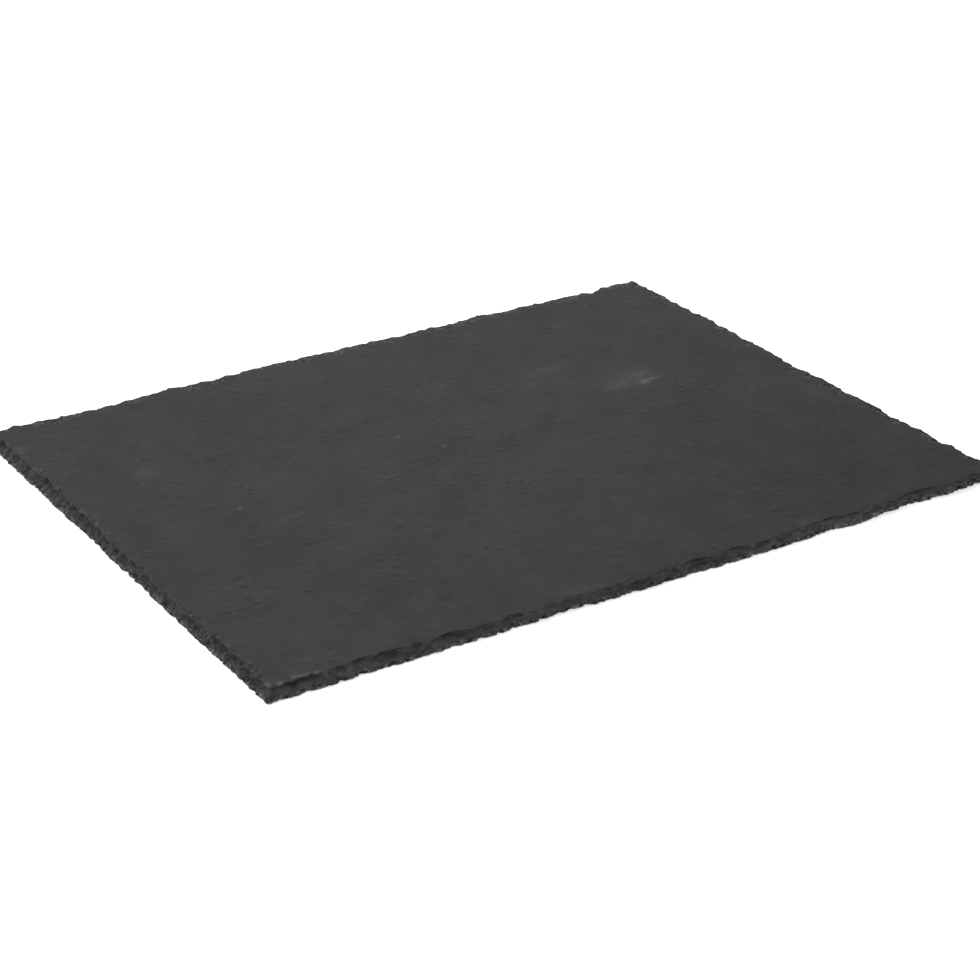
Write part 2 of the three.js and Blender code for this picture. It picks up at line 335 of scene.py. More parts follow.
# pits: station, height, half width, half height, depth, slant; those of the west edge are the large ones
PITS = {"south": [(-150, 3.3, 7.5, 0.55, 0.9, 0.02), (-113, 0.5, 1.2, 0.6, 0.9, 0), (121, 3.1, 7.0, 0.5, 0.6, 0.02),
                  (-104, 0.4, 1.4, 0.5, 0.9, 0)],
        "east": [], "north": [],
        "west": [(72, 3.2, 1.7, 0.9, 1.0, 0), (54, 2.8, 1.2, 0.8, 0.6, 0), (35, 3.1, 1.6, 0.9, 0.9, 0), (17, 2.6, 1.3, 0.7, 0.6, 0),
                 (-1, 2.8, 1.6, 0.8, 0.8, 0), (-16, 3.2, 1.8, 0.9, 0.9, 0), (-21, 0.9, 1.8, 0.8, 1.3, 0), (-38, 3.1, 1.7, 0.9, 1.0, 0),
                 (-47, 0.8, 1.6, 0.7, 1.3, 0), (-66, 2.9, 1.5, 0.8, 0.8, 0), (-72, 2.2, 1.4, 0.7, 0.7, 0), (-86, 3.1, 1.7, 0.9, 0.9, 0),
                 (-102, 2.8, 1.8, 0.8, 0.9, 0), (-116, 1.8, 1.4, 0.8, 1.0, 0), (92, 2.8, 1.3, 0.7, 0.6, 0), (118, 3.1, 1.9, 0.9, 0.8, 0)]}
NICKS = {}
for side in SIDES:
    half = HALF_X if side in ("south", "north") else HALF_Y
    wide, deep = (0.55, 1.5) if side == "south" else (0.6, 2.0), NICK[side]
    NICKS[side] = [(rng.uniform(-half, half), rng.uniform(*wide), deep * rng.uniform(0.25, 1.0)) for _ in range(int(half / 1.9))]
    PITS[side] += [(rng.uniform(-half, half), rng.uniform(0.0, 0.9), rng.uniform(0.5, 1.2), rng.uniform(0.25, 0.5),
                    rng.uniform(0.5, 1.1), 0) for _ in range(int(half / 2.6))]
    PITS[side] += [(rng.uniform(-half, half), rng.uniform(1.0, 3.4), rng.uniform(0.6, 1.6), rng.uniform(0.35, 0.8),
                    rng.uniform(0.25, 0.7), 0) for _ in range(int(half / 4.5))]
    # long slanting steps in the upper half of the face
    PITS[side] += [(rng.uniform(-half, half), rng.uniform(1.7, 3.7), rng.uniform(2.0, 5.0), rng.uniform(0.28, 0.5),
                    rng.uniform(0.35, 0.8) * (0.5 if side == "west" else 1.0), rng.uniform(0.02, 0.2)) for _ in range(int(half / 7))]
# the west edge is lighter and darker by turns along its length, with painted shade in dark clumps in its upper half
WEST_TONE = [(-136, 0.98), (-121, 1.0), (-82, 0.95), (-62, 1.12), (-43, 1.5), (-24, 1.12), (-3, 0.90), (36, 0.88), (76, 0.91), (110, 0.93),
             (136, 0.98)]
WEST_FOOT = [(-136, 1.1), (-121, 1.12), (-82, 0.88), (-43, 1.1), (-3, 0.88), (36, 1.15), (76, 1.5), (110, 1.5), (136, 1.3)]
LIP_NICKS = {"south": [], "west": []}
for side, gap, deep in (("east", 9.0, 0.7), ("north", 3.8, 1.25)):
    half = HALF_X if side == "north" else HALF_Y
    LIP_NICKS[side] = [(rng.uniform(-half, half), rng.uniform(0.6, 1.5), deep * rng.uniform(0.2, 1.0)) for _ in range(int(2 * half / gap))]


# how much further in (or out) the lip lies than the even bevel puts it, by station
LIP_SHIFT = {"south": [(-165, 0.8), (-148, 1.5), (-129, 2.1), (-110, 1.5), (-92, 0.1), (-71, 0.0), (-52, -1.1), (-33, -0.7), (-14, -0.6),
                       (5, -0.2), (24, -0.5), (43, 0.0), (82, 0.0), (101, -1.3), (122, -1.8), (150, -1.6), (165, -1.0)],
             "west": [(-136, 0.4), (-109, 0.8), (-80, 1.2), (-62, 0.3), (-43, -0.5), (-24, 0.2), (-3, 0.8), (36, 1.5), (76, 1.6), (110, 1.2),
                      (136, 0.4)],
             "east": [(0, 0.0)], "north": [(0, 0.0)]}


def lip_shift(side, s):
    return along(LIP_SHIFT[side], s)


FACES = {}


def face(side, s, rise):
    """The broken edge face at some stations, worked out once."""
    key = (side, s.tobytes(), rise.tobytes())
    if key not in FACES:
        FACES[key] = broken(side, s, rise)
    return FACES[key]


def broken(side, s, rise):
    """Depth broken out of the edge face, with the stone's tone and painted shade there (darker in deep facets, scoops
    and pits, lighter towards the foot), its crushed paleness and its grittiness.
    """
    z = (rise - 0.08) / 0.92 * (LIP_HEIGHT - FOOT_RISE)
    low = smooth(0.50, 0.10, rise)
    seed, amp = SEED[side] * 101, CRUMBLE[side]
    broad, tint1, rim1 = facets(s, z + 0.5 * drift(s / 9, seed + 40), 4.6, 2.1, seed)
    small, tint2, _ = facets(s, z + 0.3 * drift(s / 5, seed + 41), 2.4, 0.8, seed + 10)
    fine, tint3, _ = facets(s, z, 1.3, 0.66, seed + 20)
    coarse = 0.55 if side == "west" else 1.0
    depth = amp * (0.60 * coarse * broad + 0.30 * small + (0.06 + 0.40 * low) * fine ** 2)
    nick = np.zeros_like(s)
    for at, half, deep in NICKS[side]:
        nick = np.maximum(nick, deep * np.clip(1 - ((s - at) / half) ** 2, 0, 1) ** 0.5)
    depth = depth + nick * smooth(0.34, 0.12, rise)
    # each scar is scooped out below the lip, deepest to one side
    _, _, u, k = scar(side, s)
    lop = 0.7 * (chance(k, seed + 61) - 0.5)
    mid, wide = BROW[side]
    scoop = np.clip(1 - ((u - lop) / (1 - np.abs(lop))) ** 2, 0, 1) * np.exp(-((rise - mid) / wide) ** 2)
    scoop = SCOOP[side] * (0.2 + 0.8 * chance(k, seed + 60) ** 1.2) * scoop
    pit = np.zeros_like(s)
    for at, up, rs, rz, deep, slant in PITS[side]:
        near = np.abs(s - at) < 2.2 * rs
        ds = s[near] - at
        pit[near] = np.maximum(pit[near], deep * np.exp(-(ds / rs) ** 2 - ((z[near] - up + slant * ds) / rz) ** 2))
    foot_out, face_out, _ = OUT[side]
    depth = depth + 0.8 * scoop + 0.6 * pit - face_out - (foot_out - face_out) * low + lip_shift(side, s) * smooth(0.35, 1.0, rise)
    # painted shade: facets that lie deeper are darker; each facet also has a random tone of its own
    tone_and_shade = 1.03 + 0.32 * coarse * (tint1 - 0.5) + 0.34 * (tint2 - 0.5) - 0.24 * (small - 0.5) - 0.20 * coarse * (broad - 0.5)
    g = 2 * tint3 - 1
    # a gritty grain that grows towards the foot, and painted light: the lower face, which slopes up towards the light,
    # lighter than the upper face
    tone_and_shade = tone_and_shade + (0.05 + 0.2 * low) * g * np.abs(g) + 0.22 * smooth(0.75, 0.1, rise) - 0.03
    if side == "south":
        tone_and_shade = tone_and_shade + 0.23 * smooth(30, 150, s) * smooth(0.8, 0.2, rise)
    # painted shade: darker in the scoops below the lip and in the pits
    tone_and_shade = tone_and_shade * (1 - 0.85 * scoop) * (1 - 0.70 * np.clip(pit, 0, 1.1))
    crush = smooth(0.92, 0.98, tint3) * (0.03 + 0.22 * low) + 0.14 * smooth(0.10, 0.02, rim1) * smooth(0.55, 0.9, tint1)
    if side == "west":
        # painted shade: dark clumps in the upper half, and the pits darker still
        shade_clump = smooth(0.15, 0.6, drift(s / 8.0, seed + 71)) * smooth(0.22, 0.5, rise)
        tone_and_shade = tone_and_shade * (1 + (along(WEST_TONE, s) - 1) * smooth(0.05, 0.35, rise)) * (1 - 0.32 * shade_clump) * (1 - 0.25 * np.clip(pit, 0, 1))
        tone_and_shade = tone_and_shade * (1 + (along(WEST_FOOT, s) - 1) * smooth(0.36, 0.08, rise))
        # painted light: the west face lighter towards its foot
        return depth, tone_and_shade * (0.88 + 0.14 * smooth(0.45, 0.1, rise)), crush, 0.54 + 1.08 * smooth(0.50, 0.12, rise)
    grit = 0.12 + 1.15 * smooth(0.46, 0.10, rise)
    if side == "south":
        grit = grit + 0.25 * smooth(30, 150, s) * smooth(0.8, 0.3, rise)
    # painted light: the face a little lighter towards its foot
    return depth, tone_and_shade * (1 + 0.08 * smooth(0.3, 0.1, rise)), crush, grit


def lip_inset(side, s):
    _, face_out, lip_out = OUT[side]
    depth, _, _, _ = face(side, s, np.full_like(s, 1.0))
    nick = np.zeros_like(s)
    for at, half, deep in LIP_NICKS[side]:
        nick = np.maximum(nick, deep * np.clip(1 - ((s - at) / half) ** 2, 0, 1) ** 0.7)
    shift = lip_shift(side, s)
    return inset(side, s, 1.0) + 0.55 * (depth + face_out - shift) + shift - lip_out + nick


NX, NY = 184, 212                                        # cells of the riven top
LONG, SHORT = 3 * NX, 2 * NY                             # columns of the edge along a long and a short side
GRID_IN = 11.0                                           # how far in the regular cells of the top begin
TOP_STEPS = (0.86, 0.70, 0.54, 0.39, 0.26, 0.15, 0.06, 0.0)
FACE_STEPS = (0.975, 0.92, 0.86, 0.80, 0.735, 0.665, 0.59, 0.515, 0.44, 0.365, 0.29, 0.22, 0.15, 0.09)

# every ring carries x, y, z, edge mask, tone and painted shade, crush and grit
flat_parts, rings = [], []
gx = np.linspace(-HALF_X + GRID_IN, HALF_X - GRID_IN, NX + 1)
gy = np.linspace(-HALF_Y + GRID_IN, HALF_Y - GRID_IN, NY + 1)
grid_x, grid_y = (v.ravel() for v in np.meshgrid(gx, gy))
flat_parts.append((grid_x, grid_y))
plans = [ring(lambda side, s, f=f: lip_inset(side, s) * (1 - f) + GRID_IN * f, LONG, SHORT, 4) for f in TOP_STEPS]
flat_parts += [(p[0], p[1]) for p in plans]
all_z, all_tone_and_shade = top_surface(np.concatenate([p[0] for p in flat_parts]), np.concatenate([p[1] for p in flat_parts]))
cut = np.cumsum([len(p[0]) for p in flat_parts])[:-1]
all_z, all_tone_and_shade = np.split(all_z, cut), np.split(all_tone_and_shade, cut)
grid_z, grid_tone_and_shade = all_z[0], all_tone_and_shade[0]

BARE_TINT = np.array([LIP_PALE[side] for side in SIDES])
for (x, y, sides, stations), f, z, tone_and_shade in zip(plans, TOP_STEPS, all_z[1:], all_tone_and_shade[1:]):
    lip_z = by_side(lambda side, s: lip_height(*nominal(side, s)), sides, stations)
    inward = by_side(lambda side, s: (GRID_IN - lip_inset(side, s)) * f, sides, stations)
    roll = np.clip(1 - inward / 4.0, 0, 1) ** 2
    z = z * (1 - roll) + np.minimum(lip_z, THICKNESS - 0.12) * roll
    gone, bare = np.zeros(len(x)), np.zeros(len(x))
    for number, side in enumerate(SIDES):
        pick = sides == number
        gone[pick], bare[pick] = spalled(side, stations[pick], inward[pick])
    rough, patch, _ = facets(x, y, 2.2, 1.8, 555)
    fine, _, _ = facets(x, y, 1.1, 1.0, 565)
    z = z - gone - bare * (0.10 * rough + 0.05 * fine)
    # painted light: the north and east lips made lighter for some millimetres in, where the rolled lip catches the
    # light from behind
    light = by_side(lambda side, s: LIP_PAINTED_LIGHT[side] + 0 * s, sides, stations)
    tone_and_shade = tone_and_shade * (1 + light * smooth(8.0, 1.0, inward))
    # painted shade: rim marks a broken dark line along the north and east lips, where the top rolls away from the
    # light; it darkens the colour on the next line
    rim = by_side(lambda side, s: PAINTED_RIM_SHADE[side] * smooth(-0.6, 0.5, drift(s / 4.3, SEED[side] + 70)), sides, stations)
    # the bare stone of the spalls, paler or darker by side, each small facet with its own tone: partly fresh broken
    # stone, partly painted shade in the chip hollows and painted light on their crests
    tone_and_shade = tone_and_shade * (1 + bare * (0.62 * (patch - 0.5) + BARE_TINT[sides])) * (1 - rim * smooth(1.1, 0.1, inward))
    grit = bare * np.array([LIP_GRIT[side] for side in SIDES])[sides]
    rings.append((x, y, z, np.clip(bare * 0.6 + (0.3 if f == 0 else 0.0), 0, 1), tone_and_shade, np.zeros(len(x)), grit))
TOP_RINGS = len(rings)
lip_ring_z = rings[-1][2]


def rise_at(k, side, s):
    px, py = nominal(side, s)
    wave = 0.018 * drift((px + 0.9 * py) / 5.3, 700 + k) + 0.012 * drift((px - 0.8 * py) / 2.3, 740 + k)
    return np.clip(FACE_STEPS[k] + wave, 0.085, 0.99)


for k in range(len(FACE_STEPS)):
    x, y, sides, stations = ring(
        lambda side, s: inset(side, s, rise_at(k, side, s)) + face(side, s, rise_at(k, side, s))[0], LONG, SHORT, 4)
    rise = by_side(lambda side, s: rise_at(k, side, s), sides, stations)
    top = np.minimum(by_side(lambda side, s: lip_height(*nominal(side, s)), sides, stations), lip_ring_z)
    z = FOOT_RISE + (top - FOOT_RISE) * (rise - 0.08) / 0.92
    tone_and_shade = by_side(lambda side, s: face(side, s, rise_at(k, side, s))[1], sides, stations)
    crush = by_side(lambda side, s: face(side, s, rise_at(k, side, s))[2], sides, stations)
    grit = by_side(lambda side, s: face(side, s, rise_at(k, side, s))[3], sides, stations)
    rings.append((x, y, np.minimum(z, rings[-1][2] - 0.03), np.ones(len(x)), tone_and_shade, crush, grit))


def foot_in(side, s):
    return inset(side, s, 0.08) + face(side, s, np.full_like(s, 0.085))[0]


for extra, height in ((0.05, FOOT_RISE * 0.75), (0.35, 0.1), (FOOT_INSET, 0.0)):
    x, y, sides, stations = ring(lambda side, s, e=extra: foot_in(side, s) + e, LONG, SHORT, 4)
    tone_and_shade = by_side(lambda side, s: face(side, s, np.full_like(s, 0.085))[1], sides, stations)
    crush = by_side(lambda side, s: face(side, s, np.full_like(s, 0.085))[2], sides, stations)
    if height == 0:
        tone_and_shade, crush = 1 + 0.4 * (tone_and_shade - 1), 0.3 * crush
    rings.append((x, y, np.full(len(x), height), np.full(len(x), 1.0 if height > 0 else 0.4), tone_and_shade, crush,
                  np.full(len(x), 1.0 if height > 0 else 0.4)))
EDGE_END = len(rings)


def underside(x, y):
    """The underside is riven too, but only hollows away from the surface it lies on."""
    h = 0.07 + 0.06 * field(x / 83 + 8.2, y / 55 + 4.4, 201) + 0.03 * field(x / 24, y / 13, 202) + 0.02 * field(x / 9, y / 5, 203)
    return np.clip(h, 0.0, 0.2)


under = []
UX, UY = NX // 2, NY // 2
for n_long, n_short, f in ((NX, NY, 0.3), (UX, UY, 0.65)):
    x, y, sides, stations = ring(lambda side, s, f=f: (foot_in(side, s) + FOOT_INSET) * (1 - f) + GRID_IN * f, n_long, n_short, 4)
    none = np.zeros(len(x))
    under.append((x, y, underside(x, y) * f, none, none + 1, none, none))
ux, uy = (v.ravel() for v in np.meshgrid(np.linspace(-HALF_X + GRID_IN, HALF_X - GRID_IN, UX + 1),
                                         np.linspace(-HALF_Y + GRID_IN, HALF_Y - GRID_IN, UY + 1)))

# =============================================================================
# 3. The mesh
# =============================================================================
points, masks, tints, crushed, gritty = [], [], [], [], []
total = 0


def add(x, y, z, e, t, c, g):
    global total
    first = total
    points.append(np.stack([x, y, z], -1))
    masks.append(e)
    tints.append(t)
    crushed.append(c)
    gritty.append(g)
    total += len(x)
    return first + np.arange(len(x))


def rim_of(ids):
    return np.concatenate([ids[0, :-1], ids[:-1, -1], ids[-1, :0:-1], ids[:0:-1, 0]])


none = np.zeros(grid_x.size)
top_ids = add(grid_x, grid_y, grid_z, none, grid_tone_and_shade, none, none).reshape(NY + 1, NX + 1)
ring_ids = [add(*r) for r in rings]
under_ids = [add(*r) for r in under]
none = np.zeros(ux.size)
low_ids = add(ux, uy, underside(ux, uy), none, none + 1, none, none).reshape(UY + 1, UX + 1)

co = np.concatenate(points)
co[:, 0] = (co[:, 0] - MID_X) * FIT_X
co[:, 1] = (co[:, 1] - MID_Y) * FIT_Y
co = np.clip(co, np.array(cad_lo) * 1000, np.array(cad_hi) * 1000)

# Where each part of the surface lies on the unit square: the top, the underside, and four strips of edge.
PX = 1 / 1024
TOP_AT, TOP_SCALE = (6 * PX, 6 * PX), 2.5 * PX
LOW_AT, LOW_SCALE = (6 * PX, 680 * PX), 1.25 * PX
STRIP_AT, STRIP_STEP, STRIP_ALONG, STRIP_WIDE = 834 * PX, 47 * PX, 3.0 * PX, 40 * PX


def top_uv(ids):
    return np.stack([TOP_AT[0] + (co[ids, 0] + HALF_X) * TOP_SCALE, TOP_AT[1] + (co[ids, 1] + HALF_Y) * TOP_SCALE], -1)


def low_uv(ids):
    return np.stack([LOW_AT[0] + (HALF_X - co[ids, 0]) * LOW_SCALE, LOW_AT[1] + (co[ids, 1] + HALF_Y) * LOW_SCALE], -1)


quads, quad_uv, tris, tri_uv = [], [], [], []


def lay(faces, uv):
    faces = np.asarray(faces)
    (quads if faces.shape[1] == 4 else tris).append(faces)
    (quad_uv if faces.shape[1] == 4 else tri_uv).append(uv(faces) if callable(uv) else uv)


lay(np.stack([top_ids[:-1, :-1], top_ids[:-1, 1:], top_ids[1:, 1:], top_ids[1:, :-1]], -1).reshape(-1, 4), top_uv)
lay(np.stack([low_ids[:-1, :-1], low_ids[1:, :-1], low_ids[1:, 1:], low_ids[:-1, 1:]], -1).reshape(-1, 4), low_uv)


def fan(coarse_loop, fine_loop, counts, ratios, fine_is_after, uv):
    """A band between a ring and one with two or three times as many points on a side."""
    c = f = 0
    nc, nf = len(coarse_loop), len(fine_loop)
    three, four = [], []
    for count, m in zip(counts, ratios):
        for i in range(count):
            g0, g1 = coarse_loop[(c + i) % nc], coarse_loop[(c + i + 1) % nc]
            p = [fine_loop[(f + m * i + j) % nf] for j in range(m + 1)]
            if m == 2:
                three += [(p[0], p[1], g0), (p[1], g1, g0), (p[1], p[2], g1)]
            else:
                three += [(p[0], p[1], g0), (p[2], p[3], g1)]
                four.append((p[1], p[2], g1, g0))
        c += count
        f += count * m
    for faces in (three, four):
        if faces:
            faces = np.array(faces)
            lay(faces if fine_is_after else faces[:, ::-1], uv)


def strip_band(before, after, d0, d1):
    """Edge quads from one ring to the next ring down, laid out in four strips."""
    side = np.repeat(np.arange(4), (LONG, SHORT, LONG, SHORT))
    step = np.where(side % 2 == 0, LENGTH / LONG, WIDTH / SHORT)
    column = np.concatenate([np.arange(LONG), np.arange(SHORT)] * 2)
    v0 = 6 * PX + column * step * STRIP_ALONG
    v1 = v0 + step * STRIP_ALONG
    u0, u1 = (STRIP_AT + side * STRIP_STEP + d for d in (d0, d1))
    uv = np.stack([np.stack([u1, v0], -1), np.stack([u1, v1], -1), np.stack([u0, v1], -1), np.stack([u0, v0], -1)], 1)
    lay(np.stack([after, np.roll(after, -1), np.roll(before, -1), before], -1), uv)


fan(rim_of(top_ids), ring_ids[0], (NX, NY, NX, NY), (3, 2, 3, 2), True, top_uv)
for a, b in zip(ring_ids[:TOP_RINGS - 1], ring_ids[1:TOP_RINGS]):
    lay(np.stack([b, np.roll(b, -1), np.roll(a, -1), a], -1), top_uv)
reach = [0.0]
for a, b in zip(ring_ids[TOP_RINGS - 1:EDGE_END - 1], ring_ids[TOP_RINGS:EDGE_END]):
    reach.append(reach[-1] + float(np.linalg.norm(co[b] - co[a], axis=1).mean()))
for k in range(EDGE_END - TOP_RINGS):
    d0, d1 = (r / reach[-1] * STRIP_WIDE for r in (reach[k], reach[k + 1]))
    strip_band(ring_ids[TOP_RINGS - 1 + k], ring_ids[TOP_RINGS + k], d0, d1)
fan(under_ids[0], ring_ids[-1], (NX, NY) * 2, (3, 2) * 2, False, low_uv)
fan(under_ids[1], under_ids[0], (UX, UY) * 2, (2, 2) * 2, False, low_uv)
lay(np.stack([rim_of(low_ids), np.roll(rim_of(low_ids), -1), np.roll(under_ids[1], -1), under_ids[1]], -1), low_uv)

quads, tris = np.concatenate(quads), np.concatenate(tris)
quad_uv, tri_uv = np.concatenate(quad_uv), np.concatenate(tri_uv)
edge_mask, tone_and_shade, crush, grit = (np.concatenate(v) for v in (masks, tints, crushed, gritty))

mesh = bpy.data.meshes.new("slate_stone")
loops = np.concatenate([quads.ravel(), tris.ravel()]).astype(np.int32)
starts = np.concatenate([np.arange(len(quads)) * 4, len(quads) * 4 + np.arange(len(tris)) * 3]).astype(np.int32)
mesh.vertices.add(len(co))
mesh.vertices.foreach_set("co", (co * 0.001).astype(np.float32).ravel())
mesh.loops.add(len(loops))
mesh.loops.foreach_set("vertex_index", loops)
mesh.polygons.add(len(starts))
mesh.polygons.foreach_set("loop_start", starts)
mesh.polygons.foreach_set("use_smooth", np.ones(len(starts), bool))
mesh.update(calc_edges=True)
unwrap = mesh.uv_layers.new(name="OFBake")
unwrap.data.foreach_set("uv", np.concatenate([quad_uv.reshape(-1, 2), tri_uv.reshape(-1, 2)]).astype(np.float32).ravel())
mesh.validate()
mesh.set_sharp_from_angle(angle=math.radians(32))

# -- marks on the stone that the material reads
px, py = co[:, 0], co[:, 1]


def blob(cx, cy, rx, ry, turn=0.0):
    c, s = math.cos(math.radians(turn)), math.sin(math.radians(turn))
    u, v = ((px - cx) * c + (py - cy) * s) / rx, (-(px - cx) * s + (py - cy) * c) / ry
    return np.exp(-(u * u + v * v))


on_top = (co[:, 2] > 3.6) & (edge_mask < 0.7)
scuff = 0.72 * blob(95.4, 22.2, 2.6, 2.6, 10) + 0.62 * blob(99.6, 22.6, 4.6, 1.5, 12) + 0.16 * blob(90, 28, 12, 7, 10)
scuff += 0.24 * blob(83.5, 25.6, 6, 2.8, 6) + 0.24 * blob(99.8, 31, 4.8, 3.4, 15) + 0.08 * blob(90, 28, 22, 12)
scuff += 0.14 * blob(-122, 56, 10, 4.5, 30) + 0.12 * blob(79.5, 12.3, 5, 1.1, -3)
scuff += 0.12 * blob(68, 57, 17, 3.2, 6) + 0.08 * blob(52, 47, 6, 3, 10) + 0.12 * blob(-137, 113, 10, 6)
scuff += 0.10 * blob(95, 47, 6, 4) + 0.30 * blob(-156, 106, 4, 3) + 0.13 * blob(149, -28, 4, 10) + 0.12 * blob(147, 107, 6, 6)
scuff += 0.13 * blob(69, -127, 6, 3) + 0.11 * blob(-35, -127, 6, 3)
scuff *= on_top
stain = 0.9 * blob(133, -70, 3.5, 3.2) + 0.75 * blob(117, -76, 7, 5, 20) + 0.35 * blob(-80, -93, 7, 5, 10)
stain += 0.4 * blob(92, -10, 6, 3, 10) + 0.3 * blob(70, -14, 5, 2.5, 10) + 0.4 * blob(-149, -39, 7, 9)
stain += 0.35 * blob(82, -92, 12, 7, 40) + 0.4 * blob(112, -92, 34, 28, 20) + 0.5 * blob(105, -112, 9, 5, 10)
stain += 0.35 * blob(101, -91, 7, 5, 20) + 0.4 * blob(130, 74, 5, 4) + 0.4 * blob(-97, -113, 6, 5) + 0.4 * blob(-59, -118, 6, 5)
stain += 0.4 * blob(-27, -111, 6, 5) + 0.9 * blob(74.2, 18.2, 4.2, 1.3, -3)
# painted light and shade: a broad drift, lighter behind and at the back right, darker at the front right and the left,
# as the light from behind falls, with soft painted patches of light and shade
bx, by = px / 100, py / 100
painted_light_and_shade = 0.042 * by + 0.046 * bx * by - 0.025 * bx * bx - 0.017 * by * by
painted_light_and_shade += 0.045 * blob(-45, -12, 48, 42) - 0.035 * blob(-142, 8, 30, 45) - 0.045 * blob(82, -108, 48, 22) + 0.03 * blob(30, 30, 40, 30)
painted_light_and_shade += 0.04 * blob(-62, -30, 26, 34) + 0.03 * blob(65, 30, 30, 22) + 0.035 * blob(-60, 112, 22, 14) + 0.02 * blob(-140, -110, 22, 20)
painted_light_and_shade -= 0.03 * blob(15, -55, 38, 24) + 0.03 * blob(85, -112, 45, 18)
painted_light_and_shade = np.exp(painted_light_and_shade)
# the painted light and shade and the stains go into the top's colour
tone_and_shade = np.where(on_top, tone_and_shade * painted_light_and_shade * (1 - 0.18 * np.clip(stain, 0, 1.1)), tone_and_shade)

# pale points, part crushed stone at struck spots and part painted glint: along the lip by the south-west corner and on
# the west lip, a few on the south foot and on the top
near_lip = (co[:, 2] > 3.7)
for cx, cy, r in ((-159.6, -126.8, 1.3), (-155.2, -128.4, 1.0), (-149.2, -127.2, 0.8), (-147.0, -127.8, 0.6),
                  (-145.2, -128.4, 0.8), (-141.0, -128.2, 0.6), (-157.2, 102.4, 1.0), (-158.6, 100.2, 0.7),
                  (-158.0, 37.9, 0.9), (-155.6, 29.5, 0.7), (-157.2, 12.7, 0.7), (-158.4, -93.7, 0.8)):
    crush = np.maximum(crush, near_lip * (0.40 if cy < -120 else 0.15) * blob(cx, cy, r * 1.3, r * 1.1, -20))
for cx, cy, r in ((61.8, -130.6, 0.6), (80.4, -131.4, 0.8), (98.6, -130.0, 0.6), (-106, -131.2, 0.7)):
    crush = np.maximum(crush, (co[:, 2] < 1.6) * 0.5 * blob(cx, cy, r, 1.6))
for cx, cy, r in ((-21, 30, 0.8), (-9.5, 11, 0.7), (-105.5, 4.4, 0.7), (98, 97.3, 0.8)):
    crush = np.maximum(crush, on_top * 0.38 * blob(cx, cy, r * 0.8, r))

for name, values in (("edge", edge_mask), ("tone_and_shade", tone_and_shade), ("crush", np.clip(crush, 0, 1)), ("scuff", scuff), ("grit", grit)):
    layer = mesh.attributes.new(name, "FLOAT", "POINT")
    layer.data.foreach_set("value", np.asarray(values, np.float32))

slab = bpy.data.objects.new("slate_stone", mesh)
bpy.context.scene.collection.objects.link(slab)

# =============================================================================
# 4. The material
# =============================================================================
mat = bpy.data.materials.new("riven slate")
mat.use_nodes = True
nt = mat.node_tree
nodes, links = nt.nodes, nt.links
shader = nodes["Principled BSDF"]


def node(kind, **props):
    n = nodes.new(kind)
    for key, value in props.items():
        setattr(n, key, value)
    return n


def put(socket, value):
    if isinstance(value, bpy.types.NodeSocket):
        links.new(value, socket)
    else:
        socket.default_value = value


def math_node(op, a, b=None, c=None, clamp=False):
    n = node("ShaderNodeMath", operation=op, use_clamp=clamp)
    for i, v in enumerate((a, b, c)):
        if v is not None:
            put(n.inputs[i], v)
    return n.outputs[0]


def remap(value, lo, hi, to_lo=0.0, to_hi=1.0, kind="SMOOTHSTEP"):
    n = node("ShaderNodeMapRange", interpolation_type=kind)
    put(n.inputs["Value"], value)
    for key, v in (("From Min", lo), ("From Max", hi), ("To Min", to_lo), ("To Max", to_hi)):
        n.inputs[key].default_value = v
    return n.outputs["Result"]


coord = node("ShaderNodeTexCoord").outputs["Object"]


def stretched(x, y, z, turn=0.0, shift=(0.0, 0.0), source=None):
    """Object coordinates in cells of x by y by z millimetres, the first axis turned away from X."""
    n = node("ShaderNodeMapping", vector_type="TEXTURE")
    n.inputs["Location"].default_value = (shift[0] * 0.001, shift[1] * 0.001, 0)
    n.inputs["Rotation"].default_value = (0, 0, math.radians(turn))
    n.inputs["Scale"].default_value = (x * 0.001, y * 0.001, z * 0.001)
    put(n.inputs["Vector"], source or coord)
    return n.outputs["Vector"]


def noise(vector, detail=3.0, rough=0.55, distort=0.0):
    n = node("ShaderNodeTexNoise", noise_dimensions="3D")
    put(n.inputs["Vector"], vector)
    n.inputs["Scale"].default_value = 1.0
    n.inputs["Detail"].default_value = detail
    n.inputs["Roughness"].default_value = rough
    n.inputs["Distortion"].default_value = distort
    return n.outputs["Fac"]


def cells(vector, dimensions):
    """Scattered points: the distance from the nearest one, and three random numbers that belong to it."""
    n = node("ShaderNodeTexVoronoi", voronoi_dimensions=dimensions, feature="F1", distance="EUCLIDEAN")
    put(n.inputs["Vector"], vector)
    n.inputs["Scale"].default_value = 1.0
    n.inputs["Randomness"].default_value = 1.0
    split = node("ShaderNodeSeparateColor")
    put(split.inputs[0], n.outputs["Color"])
    return n.outputs["Distance"], split.outputs


def attribute(name):
    return node("ShaderNodeAttribute", attribute_name=name).outputs["Fac"]


def mix(fac, a, b, blend="MIX"):
    n = node("ShaderNodeMix", data_type="RGBA", blend_type=blend)
    put(n.inputs["Factor"], fac)
    put(n.inputs[6], a if isinstance(a, bpy.types.NodeSocket) else (*a, 1.0))
    put(n.inputs[7], b if isinstance(b, bpy.types.NodeSocket) else (*b, 1.0))
    return n.outputs[2]


def scaled(colour, factor):
    n = node("ShaderNodeVectorMath", operation="SCALE")
    put(n.inputs[0], colour)
    put(n.inputs["Scale"], factor)
    return n.outputs[0]


edge, tone_and_shade_at, crushed_at, scuffed, grit_at = (attribute(n) for n in ("edge", "tone_and_shade", "crush", "scuff", "grit"))

